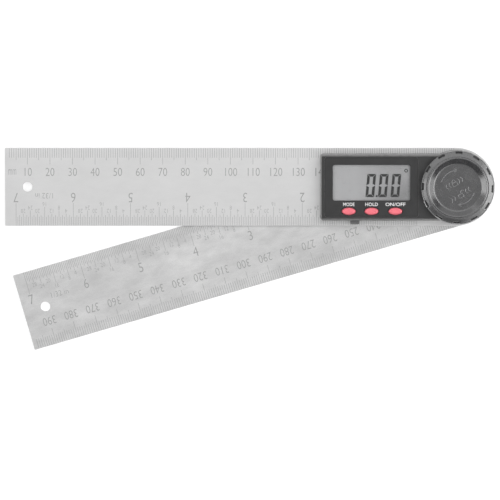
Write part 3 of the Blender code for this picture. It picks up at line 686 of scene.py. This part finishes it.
def text_mesh(words, height, gain):
    """A flat solid of generic figures or letters with a given cap height, centred."""
    curve = bpy.data.curves.new("figures", "FONT")
    curve.body = words
    curve.align_x = "CENTER"
    curve.size = 1.0
    curve.resolution_u = text_resolution
    curve.extrude = 0.5
    curve.offset = gain / height
    mesh = curve_mesh(curve)
    tall = max(vertex.co.y for vertex in mesh.vertices)
    low = min(vertex.co.y for vertex in mesh.vertices)
    middle = Matrix.Translation((0, -(tall + low) / 2, 0))
    mesh.transform(Matrix.Diagonal((height / (tall - low),) * 2 + (1, 1)) @ middle)
    return mesh


def add_text(shape, words, height, place, rise, depth, turn=0.0, condense=1.0,
             gain=stroke_gain, width=None):
    """Add figures that stand a rise above a level and reach a depth below it."""
    key = (words, height, gain)
    if key not in made_text:
        made_text[key] = text_mesh(words, height, gain)
    mesh = made_text[key].copy()
    if width is not None:
        reaches = [vertex.co.x for vertex in mesh.vertices]
        condense = width / (max(reaches) - min(reaches))
    size = Matrix.Diagonal((condense, 1, rise + depth, 1))
    spot = Matrix.Translation((place[0], place[1], (rise - depth) / 2))
    mesh.transform(spot @ Matrix.Rotation(turn, 4, "Z") @ size)
    shape.from_mesh(mesh)
    bpy.data.meshes.remove(mesh)


def add_etching(shape, words, height, place, turn, width=None):
    """Add figures or words etched in an arm, condensed, or fitted to a width."""
    add_text(shape, words, height, place, mark_rise, mark_depth, turn, figure_condense, width=width)


def tick_length(number, lengths):
    """The length of a graduation: that of the largest step which divides its number."""
    return next(length for step, length in lengths.items() if number % step == 0)


def add_millimetre_scale(shape, side, turn, half, length, figures, last, with_unit):
    """Graduations along one edge and a figure each ten; figures maps a number to its text."""
    count = round(length / millimetre)
    for number in range(first_tick, count):
        add_tick(shape, number * millimetre - length, side, tick_length(number, millimetre_ticks), half)
    y = side * (half - figure_inset)
    for number in range(figure_step, last + 1, figure_step):
        place = (number * millimetre - length, y)
        add_etching(shape, figures(number), figure_height, place, turn)
    if with_unit:
        add_etching(shape, "mm", unit_height, (-unit_place, y), turn, unit_width)


def add_inch_scale(shape, side, turn, half):
    """Inch graduations down to 32nds, counted from the case's end, with their figures."""
    for number in range(last_inch * inch_parts + 1):
        x = -inch_zero - inch * number / inch_parts
        part = number % inch_parts
        length = tick_length(part, inch_ticks)
        add_tick(shape, x, side, length, half)
        if part == 0:
            place = (x, side * (half - inch_figure_inset))
            add_etching(shape, str(number // inch_parts), inch_figure_height, place, turn)
        elif part % fraction_step == 0:
            place = (x, side * (half - length - fraction_gap))
            add_etching(shape, str(part), fraction_height, place, turn)
    place = (-note_place, side * (half - note_inset))
    add_etching(shape, "1/32 in", unit_height, place, turn, note_width)


def make_scales():
    """The etched scales of both arms."""
    length, half = -arm_box[0].x, arm_box[1].x
    shape = bmesh.new()
    add_millimetre_scale(shape, 1, 0.0, half, length, str, last_upper_figure, True)
    add_inch_scale(shape, -1, math.pi, half)
    shape.transform(Matrix.Translation((0, 0, arm_heights["upper_arm"][1])))
    add_shape("upper_scale", shape, "etch", "display_arm", "arm_steel")
    shape = bmesh.new()
    far = round(2 * length / millimetre)
    add_millimetre_scale(shape, -1, math.pi, half, length, lambda number: str(far - number),
                         last_lower_figure, False)
    add_inch_scale(shape, 1, 0.0, half)
    shape.transform(Matrix.Translation((0, 0, arm_heights["lower_arm"][1])))
    shape.transform(Matrix.Rotation(arm_turn, 4, "Z"))
    add_shape("lower_scale", shape, "etch", "swing_arm", "arm_steel")


def window_outline(gap):
    """A function of the inset for the window's outline, grown by a gap."""
    low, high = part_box("display_window")
    return lambda inset: rounded_rectangle(low, high, window_corner_radius, inset - gap)


def overlay_outline(gap):
    """A function of the inset for the overlay's outline, grown by a gap."""
    low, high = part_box("face_overlay")
    return lambda inset: rounded_rectangle(low, high, overlay_corner_radius, inset - gap)


def button_outline(node, gap):
    """A function of the inset for a button's oval, grown by a gap."""
    low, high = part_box(node)
    half_length = (high.x - low.x) / 2 - button_flange + gap
    half_width = (high.y - low.y) / 2 - button_flange + gap
    centre = centre_of(node)
    return lambda inset: ellipse(centre, half_length - inset, half_width - inset, button_steps)


def straight_hole(outline, bottom, top, edge):
    """Rings of a hole of any outline with a small rounded upper rim."""
    return [(outline(0), bottom), (outline(0), top - edge), (outline(-edge), top)]


def make_cover():
    """The case cover: a rounded shell, sunk for the overlay and the knob.

    It has no slot for the battery tray, and the stud's hole is open at its lower end.
    """
    low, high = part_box("case_cover")
    bottom, top = low.z, high.z
    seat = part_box("face_overlay")[0].z - overlay_seat_gap / 2
    recess_floor = top - knob_recess_depth
    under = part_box("display_window")[0].z

    def outline(inset, end_inset=None):
        return case_outline(inset, -low.x, high.x, end_inset)

    shape = bmesh.new()
    stack = [(outline(bottom_edge), bottom), (outline(0), bottom + bottom_edge)]
    for i in range(case_edge_rows + 1):
        angle = math.pi / 2 * i / case_edge_rows
        inset = case_edge_width * (1 - math.cos(angle))
        ring = outline(inset, inset * case_end_edge_share)
        stack.append((ring, top - case_edge_drop * (1 - math.sin(angle))))
    edges, rim = skin(shape, stack)
    inner = [(outline(case_wall), bottom), (outline(case_wall), under)]
    inner_low, inner_high = skin(shape, inner)
    cap(shape, edges + inner_low)
    seat_outline = overlay_outline(overlay_seat_gap)
    seat_low, seat_high = skin(shape, straight_hole(seat_outline, seat, top, overlay_edge))
    recess = hole_rings((0, 0), knob_recess_radius, recess_floor, top)
    recess_low, recess_high = skin(shape, recess)
    cap(shape, rim + seat_high + recess_high)
    stud = hole_rings((0, 0), stud_hole_radius, under - case_wall, recess_floor)
    stud_high = skin(shape, stud)[1]
    cap(shape, recess_low + stud_high)
    face_edges = list(seat_low)
    under_edges = list(inner_high)
    holes = [window_outline(window_gap)] + [button_outline(node, button_gap) for node in labels]
    for hole in holes:
        hole_low, hole_high = skin(shape, straight_hole(hole, under, seat, overlay_edge / 2))
        face_edges += hole_high
        under_edges += hole_low
    cap(shape, face_edges)
    cap(shape, under_edges)
    add_shape("cover_shell", shape, "case", "display_arm", "case_plastic", "case_cover")


def make_overlay():
    """The printed film on the face, with its window and button cut-outs."""
    low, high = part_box("face_overlay")
    shape = bmesh.new()
    outline = overlay_outline(0)
    stack = [(outline(0), low.z), (outline(0), high.z - overlay_edge), (outline(overlay_edge), high.z)]
    holes = [straight_hole(window_outline(overlay_edge), low.z, high.z, overlay_edge)]
    for node in labels:
        holes.append(straight_hole(button_outline(node, button_gap), low.z, high.z, overlay_edge))
    plate(shape, stack, holes)
    add_shape("face_film", shape, "film", "display_arm", "face_film", "face_overlay")


def make_window():
    """The clear window with a polished edge."""
    low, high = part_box("display_window")
    shape = bmesh.new()
    plate(shape, rounded_stack(window_outline(0), low.z, high.z, window_edge, window_edge_steps))
    add_shape("display_cover", shape, "window", "display_arm", "clear_window", "display_window")


def add_zero(shape, x, bottom):
    """A seven-bar figure zero, upright, its bars mitred at the corners; the slant comes after."""
    stroke, gap = digit_stroke, digit_gap
    reach, rise = digit_width / 2, digit_height / 2
    level = [(gap - reach, rise), (reach - gap, rise)]
    level += [(reach - stroke - gap, rise - stroke), (gap + stroke - reach, rise - stroke)]
    upright = [(-reach, gap), (-reach, rise - gap)]
    upright += [(stroke - reach, rise - stroke - gap), (stroke - reach, gap + stroke / 2)]
    bars = []
    for side in (1, -1):
        bars.append([(u, side * v) for u, v in level])
        bars += [[(across * u, side * v) for u, v in upright] for across in (1, -1)]
    for bar in bars:
        outline = [(x + reach + u, bottom + rise + v) for u, v in bar]
        plate(shape, [(outline, 0.0), (outline, ink_rise)])


def make_display_figures():
    """The reading of 0.00 and the degree ring on the display."""
    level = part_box("lcd_panel")[1].z
    shape = bmesh.new()
    for place in range(3):
        add_zero(shape, place * digit_pitch, 0.0)
    point = point_x - first_digit_x
    square = rounded_rectangle((point, 0), (point + point_size, point_size), point_size / 4)
    plate(shape, [(square, 0.0), (square, ink_rise)])
    slant = Matrix.Shear("XY", 4, (0, 0))
    slant[0][1] = math.tan(digit_slant)
    shape.transform(slant)
    shape.transform(Matrix.Translation((first_digit_x, digits_bottom, 0)))
    outer = circle(degree_place, degree_radius)
    inner = circle(degree_place, degree_radius - degree_stroke)
    plate(shape, [(outer, 0.0), (outer, ink_rise)], [[(inner, 0.0), (inner, ink_rise)]])
    shape.transform(Matrix.Translation((0, 0, level)))
    add_shape("display_figures", shape, "ink", "display_arm", "display_glass")


def make_buttons():
    """The three domed rubber buttons with their flanges under the face."""
    bodies = {"mode_button": "mode_key", "hold_button": "hold_key", "power_button": "power_key"}
    for node, body in bodies.items():
        low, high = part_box(node)
        outline = button_outline(node, 0.0)
        flange = button_outline(node, button_flange)
        flange_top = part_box("display_window")[0].z - button_gap
        stack = [(flange(0), low.z), (flange(0), flange_top), (outline(0), flange_top)]
        half_width = (high.y - low.y) / 2 - button_flange
        for row in range(button_dome_rows):
            angle = math.pi / 2 * row / button_dome_rows
            reach = half_width * (1 - math.cos(angle) ** button_dome_power)
            stack.append((outline(reach), high.z - button_dome * (1 - math.sin(angle))))
        shape = bmesh.new()
        plate(shape, stack)
        for edge in shape.edges:
            edge.smooth = True
        name = node.replace("button", "key_cap")
        add_shape(name, shape, "button", body, "button_rubber", node)


def make_labels():
    """Plain function words over the buttons, in place of the real print."""
    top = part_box("face_overlay")[1].z
    shape = bmesh.new()
    for node, (words, width) in labels.items():
        x, y = centre_of(node)
        add_text(shape, words, print_height, (x, y + print_offset), print_rise, print_rise / 2,
                 gain=print_gain, width=width)
    shape.transform(Matrix.Translation((0, 0, top)))
    add_shape("face_print", shape, "print", "display_arm", "face_film")


def land_height(radius, top):
    """The height of the knob's upper surface outside its dish."""
    outer = knob_radius - land_inset
    share = min(max((radius - land_flat_radius) / (outer - land_flat_radius), 0), 1)
    eased = share if share > land_ease else (share * share / land_ease + land_ease) / 2
    eased = (eased - land_ease / 2) / (1 - land_ease / 2)
    bead = bead_height * math.exp(-((radius - bead_radius) / bead_half_width) ** 2)
    groove = groove_depth * math.exp(-((radius - groove_radius) / groove_half_width) ** 2)
    return top - bead_height - (land_drop - bead_height) * eased + bead - groove


def knob_rows(top, bottom, notched):
    """One half section of the knob from its middle out, round and under, with or without a notch."""
    floor = top - dish_depth
    rows = [(0.0, floor)]
    rows += [(dish_floor_radius * share, floor) for share in floor_shares]
    for i in range(dish_steps + 1):
        share = i / dish_steps
        radius = dish_floor_radius + (rim_radius - dish_floor_radius) * share
        rows.append((radius, floor + (land_height(rim_radius, top) - floor) * share))
    notch_radius = knob_radius - notch_depth
    for i in range(1, land_steps + 1):
        radius = rim_radius + (notch_radius - notch_edge - rim_radius) * i / land_steps
        rows.append((radius, land_height(radius, top)))
    ledge = bottom + notch_ledge
    outer = knob_radius - land_inset
    last = land_height(notch_radius, top)
    if notched:
        wall = last - ledge
        bevel = notch_edge * bevel_share
        rows += [(notch_radius - bevel, last - bevel), (notch_radius, last - notch_edge)]
        rows += [(notch_radius, ledge + wall * share) for share in wall_shares]
        rows += [(notch_radius + bevel, ledge + bevel), (notch_radius + notch_edge, ledge)]
        rows += [(knob_radius - ledge_edge, ledge), (knob_radius, ledge - ledge_edge)]
    else:
        for radius in (notch_radius, (notch_radius + outer) / 2):
            rows.append((radius, land_height(radius, top)))
        for i in range(rim_steps + 1):
            angle = math.pi / 2 * i / rim_steps
            radius = outer + land_inset * math.sin(angle)
            rows.append((radius, land_height(outer, top) - edge_drop * (1 - math.cos(angle))))
        rows += [(knob_radius, ledge + rise) for rise in (notch_ledge, 0, -ledge_edge)]
    rows += [
        (knob_radius, bottom + edge_drop),
        (knob_radius - edge_drop * bevel_share, bottom + edge_drop * bevel_share),
        (knob_radius - edge_drop, bottom),
        (knob_radius - skirt_wall, bottom),
        (knob_radius - skirt_wall, bottom + skirt_depth),
        (0.0, bottom + skirt_depth),
    ]
    return rows


def knob_columns():
    """Angles round the knob, each with its share of a notch from 0 to 1."""
    sector = 2 * math.pi / knob_sectors
    half = notch_half_width / knob_radius
    edge = notch_edge / knob_radius
    columns = []
    for number in range(knob_sectors):
        middle = knob_first_notch + number * sector
        for i in range(notch_columns + 1):
            columns.append((middle - half + edge + (2 * half - 2 * edge) * i / notch_columns, 1.0))
        for across, share in notch_sides:
            columns.append((middle + half + edge * across, share))
        start = middle + half + edge
        stop = middle + sector - half - edge
        for i in range(land_columns + 1):
            columns.append((start + (stop - start) * i / land_columns, 0.0))
        for across, share in reversed(notch_sides):
            columns.append((middle + sector - half - edge * across, share))
    return columns


def make_knob():
    """The lock knob: dished face, domed land and grip notches."""
    low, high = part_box("lock_knob")
    plain = knob_rows(high.z, low.z + knob_hub_drop, False)
    notched = knob_rows(high.z, low.z + knob_hub_drop, True)
    shape = bmesh.new()
    rings = []
    for (r0, z0), (r1, z1) in list(zip(plain, notched))[1:-1]:
        ring = []
        for angle, share in knob_columns():
            radius = r0 + (r1 - r0) * share
            height = z0 + (z1 - z0) * share
            ring.append(shape.verts.new((radius * math.cos(angle), radius * math.sin(angle), height)))
        rings.append(ring)
    join_rings(shape, rings)
    for ring, (_, height) in ((rings[0], plain[0]), (rings[-1], plain[-1])):
        middle = shape.verts.new((0, 0, height))
        for i, vertex in enumerate(ring):
            shape.faces.new((vertex, ring[(i + 1) % len(ring)], middle))
    mesh = finished_mesh(shape, "knob_shell")
    add_piece("knob_shell", mesh, "knob", "knob", "knob_plastic", "lock_knob")
    # The notch ledges take the duller plastic, as painted shade
    mesh.materials.append(materials["knob_notch"])
    inner, outer = knob_radius - notch_depth, knob_radius - ledge_edge / 2
    for face in mesh.polygons:
        height, radius = face.center.z - knob_ledge, face.center.xy.length
        if abs(height) < notch_edge and inner < radius < outer:
            face.material_index = 1


def rib_curve(name, paths, radius, level):
    """Half-sunk round ribs along flat paths, as one mesh."""
    curve = bpy.data.curves.new(name, "CURVE")
    curve.dimensions = "3D"
    curve.bevel_depth = radius
    curve.bevel_resolution = rib_resolution
    curve.use_fill_caps = True
    for path, closed in paths:
        spline = curve.splines.new("POLY")
        spline.points.add(len(path) - 1)
        for point, (x, y) in zip(spline.points, path):
            point.co = (x, y, level, 1)
        spline.use_cyclic_u = closed
    return curve_mesh(curve)


def placed(path, place, turn):
    """Turn and move a flat path."""
    matrix = Matrix.Translation((*place, 0)) @ Matrix.Rotation(turn, 4, "Z")
    return [tuple((matrix @ Vector((x, y, 0)))[:2]) for x, y in path]


def padlock_paths(is_open):
    """The outline of a padlock picture about 3 mm tall."""
    half = padlock_half
    radius = half * shackle_share
    body = [(-half, padlock_low), (half, padlock_low), (half, padlock_high), (-half, padlock_high)]
    shift = half * open_shift if is_open else 0.0
    shackle = [(shift - radius, padlock_high)]
    shackle += arc((shift, shackle_level), radius, 180, 0, shackle_steps)
    if not is_open:
        shackle.append((radius, padlock_high))
    return [(body, True), (shackle, False)]


def make_knob_marks():
    """Raised turning arrows and open and closed padlocks on the knob's floor."""
    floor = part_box("lock_knob")[1].z - dish_depth
    paths = []
    for start, stop in arrow_arcs:
        path = arc((0, 0), arrow_radius, start, stop, arrow_steps)
        paths.append((path, False))
        tip = Vector(path[-1])
        heading = math.radians(stop - 90)
        for spread in (barb_turn, -barb_turn):
            angle = heading + math.radians(spread)
            barb = tip + Vector((math.cos(angle), math.sin(angle))) * barb_length
            paths.append(([tuple(tip), tuple(barb)], False))
    for place, is_open in zip(padlock_places, (False, True)):
        for path, closed in padlock_paths(is_open):
            paths.append((placed(path, place, marks_turn), closed))
        for side in (-1, 1):
            for step in chevron_places:
                x = side * step
                tip = side * (-chevron_depth if is_open else chevron_depth)
                chevron = [(x - tip, chevron_half), (x, 0.0), (x - tip, -chevron_half)]
                paths.append((placed(chevron, place, marks_turn), False))
    mesh = rib_curve("knob_marks", paths, knob_mark_radius, floor + knob_mark_height - knob_mark_radius)
    for polygon in mesh.polygons:
        polygon.use_smooth = True
    # The marks take the lighter plastic: wear and a painted highlight
    add_piece("knob_marks", mesh, "knob_mark", "knob", "knob_plastic")


def dress_nodes():
    """Give every CAD node that still shows its finish."""
    finishes = {
        "turned": ["pivot_stud", *hub_rivets, "clamp_washer", *case_screws],
        "spring": ["coin_cell", "battery_contact_top", "battery_contact_side", "spring_washer"],
        "brass": ["rotor_hub", "pivot_bush", "knob_nut"],
        "case": ["case_base"],
        "tray": ["battery_tray"],
        "lcd": ["lcd_panel"],
        "grey_rubber": ["lcd_connector"],
        "board": ["circuit_board", "rotor_disc"],
        "resin": ["processor_blob", "mode_switch", "hold_switch", "power_switch"],
        "nylon": ["thrust_washer"],
    }
    for finish, nodes in finishes.items():
        for node in nodes:
            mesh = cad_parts[node].data
            mesh.materials.clear()
            mesh.materials.append(materials[finish])


def light_group(name, pieces, state):
    """A collection of pieces, for lamps that light them alone or leave them out."""
    collection = bpy.data.collections.new(name)
    for piece in pieces:
        collection.objects.link(bpy.data.objects[piece])
    for member in collection.collection_objects:
        member.light_linking.link_state = state
    return collection


def add_lamp(name, azimuth, tilt, distance, spread, radiance, receivers=None):
    """A soft box round the case, by its direction and half angles in degrees and its radiance.

    It lights everything, or what the collection of receivers names.
    """
    azimuth, tilt = math.radians(azimuth), math.radians(tilt)
    across, along = [2 * distance * math.tan(math.radians(half)) for half in spread]
    data = bpy.data.lights.new(name, "AREA")
    data.shape = "RECTANGLE"
    data.size, data.size_y = across, along
    data.energy = radiance * math.pi * across * along
    lamp = bpy.data.objects.new(name, data)
    side = distance * math.sin(tilt)
    lamp.location = (side * math.cos(azimuth), side * math.sin(azimuth), distance * math.cos(tilt))
    lamp.rotation_euler = (tilt, 0, azimuth + math.pi / 2)
    lamp.visible_camera = False
    lamp.light_linking.receiver_collection = receivers
    bpy.context.scene.collection.objects.link(lamp)


def ray_kinds(nodes, links, *kinds):
    """Return a value of 1 for rays of the named kinds and 0 for others."""
    path = nodes.new("ShaderNodeLightPath")
    value = path.outputs[kinds[0]]
    for kind in kinds[1:]:
        value = math_value(nodes, links, "MAXIMUM", value, path.outputs[kind])
    return value


def make_stage():
    """A white floor that reads as a white page but keeps the shadow."""
    finish = Finish("floor_paper", (0.50, 0.50, 0.50), 0.9)
    finish.vary_colour(finish.noise(0.05), 0.995, 1.0)
    finish.add_bump(finish.noise(0.0008), 0.000004)
    glow = finish.nodes.new("ShaderNodeEmission")
    add = finish.nodes.new("ShaderNodeAddShader")
    distance = finish.nodes.new("ShaderNodeVectorMath")
    distance.operation = "LENGTH"
    finish.links.new(finish.nodes.new("ShaderNodeTexCoord").outputs["Object"], distance.inputs[0])
    fade = finish.spread(distance.outputs["Value"], floor_glow, 1.0, *floor_fade)
    kinds = ("Is Camera Ray", "Is Glossy Ray", "Is Transmission Ray")
    direct = ray_kinds(finish.nodes, finish.links, *kinds)
    level = math_value(finish.nodes, finish.links, "MULTIPLY", direct, fade)
    finish.links.new(level, glow.inputs["Strength"])
    output = finish.nodes["Material Output"]
    finish.links.new(finish.shader.outputs["BSDF"], add.inputs[0])
    finish.links.new(glow.outputs["Emission"], add.inputs[1])
    finish.links.new(add.outputs["Shader"], output.inputs["Surface"])
    shape = bmesh.new()
    bmesh.ops.create_grid(shape, x_segments=2, y_segments=2, size=floor_half_size)
    shape.transform(Matrix.Translation((*camera_aim, -floor_gap)))
    mesh = bpy.data.meshes.new("floor")
    shape.to_mesh(mesh)
    shape.free()
    mesh.materials.append(finish.material)
    floor = bpy.data.objects.new("floor", mesh)
    bpy.context.scene.collection.objects.link(floor)


def make_world():
    """A dim studio with a white backdrop round it, which the camera sees as white all over."""
    world = bpy.data.worlds.new("studio")
    world.use_nodes = True
    nodes = world.node_tree.nodes
    links = world.node_tree.links
    where = nodes.new("ShaderNodeTexCoord")
    parts = nodes.new("ShaderNodeSeparateXYZ")
    backdrop = nodes.new("ShaderNodeMapRange")
    set_inputs(backdrop, {"From Min": backdrop_top, "From Max": backdrop_top / 2})
    level = nodes.new("ShaderNodeMapRange")
    level.inputs["To Min"].default_value = world_level
    links.new(where.outputs["Generated"], parts.inputs["Vector"])
    links.new(parts.outputs["Z"], backdrop.inputs["Value"])
    reflected = ray_kinds(nodes, links, "Is Glossy Ray", "Is Transmission Ray")
    mirrored = math_value(nodes, links, "MULTIPLY", backdrop.outputs["Result"], reflected)
    shown = math_value(nodes, links, "MAXIMUM", mirrored, ray_kinds(nodes, links, "Is Camera Ray"))
    links.new(shown, level.inputs["Value"])
    links.new(level.outputs["Result"], nodes["Background"].inputs["Strength"])
    nodes["Background"].inputs["Color"].default_value = (1, 1, 1, 1)
    bpy.context.scene.world = world


def make_camera():
    """The camera, nearly straight above and leaning a little to the far side, as in the photograph."""
    data = bpy.data.cameras.new("camera")
    data.sensor_width = sensor_width
    data.lens = sensor_width * camera_distance / view_width
    data.clip_start = clip_start
    camera = bpy.data.objects.new("camera", data)
    away, up = camera_distance * math.sin(camera_lean), camera_distance * math.cos(camera_lean)
    camera.location = (camera_aim[0], camera_aim[1] + away, up + arm_heights["upper_arm"][1])
    camera.rotation_euler = (-camera_lean, 0, 0)
    bpy.context.scene.collection.objects.link(camera)
    bpy.context.scene.camera = camera


arm_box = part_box("upper_arm")
arm_heights = {node: (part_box(node)[0].z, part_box(node)[1].z) for node in ("upper_arm", "lower_arm")}
knob_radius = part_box("lock_knob")[1].x
knob_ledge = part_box("lock_knob")[0].z + knob_hub_drop + notch_ledge
made_text = {}
materials = make_materials()

make_camera()
make_arms()
make_scales()
make_cover()
make_overlay()
make_window()
make_display_figures()
make_buttons()
make_labels()
make_knob()
make_knob_marks()
dress_nodes()

arms = ("upper_rule", "lower_rule")
arms_only = light_group("arms_only", arms, "INCLUDE")
all_but_arms = light_group("all_but_arms", arms, "EXCLUDE")
knob_only = light_group("knob_only", ("knob_shell", "knob_marks"), "INCLUDE")
# Azimuth, tilt, distance, half angles, radiance, and the collection it lights if not everything
lamps = (
    ("right_box", -2, 40, 1.2, (17, 18), 4.3, all_but_arms),
    ("left_box", 188, 43, 1.2, (15, 17), 3.2, all_but_arms),
    ("right_sheet", 0, 46, 1.2, (28, 16), 0.65, arms_only),
    ("left_sheet", 180, 46, 1.2, (28, 16), 1.2, arms_only),
    ("near_sheet", 270, 46, 1.2, (28, 16), 0.7, arms_only),
    ("knob_box", 150, 60, 1.2, (22, 10), 1.3, knob_only),
    ("rim_box", 235, 85, 1.2, (40, 5), 6.0, knob_only),
    ("far_box", 90, 27, 1.2, (30, 17), 1.55),
    ("low_box", 90, 55, 1.2, (44, 11), 0.80),
    ("near_box", 312, 36, 1.2, (13, 12), 1.35),
    ("top_box", 285, 11, 1.6, (24, 21), 0.63),
)
for lamp in lamps:
    add_lamp(*lamp)
make_world()
make_stage()

bpy.context.scene.view_settings.view_transform = "Standard"
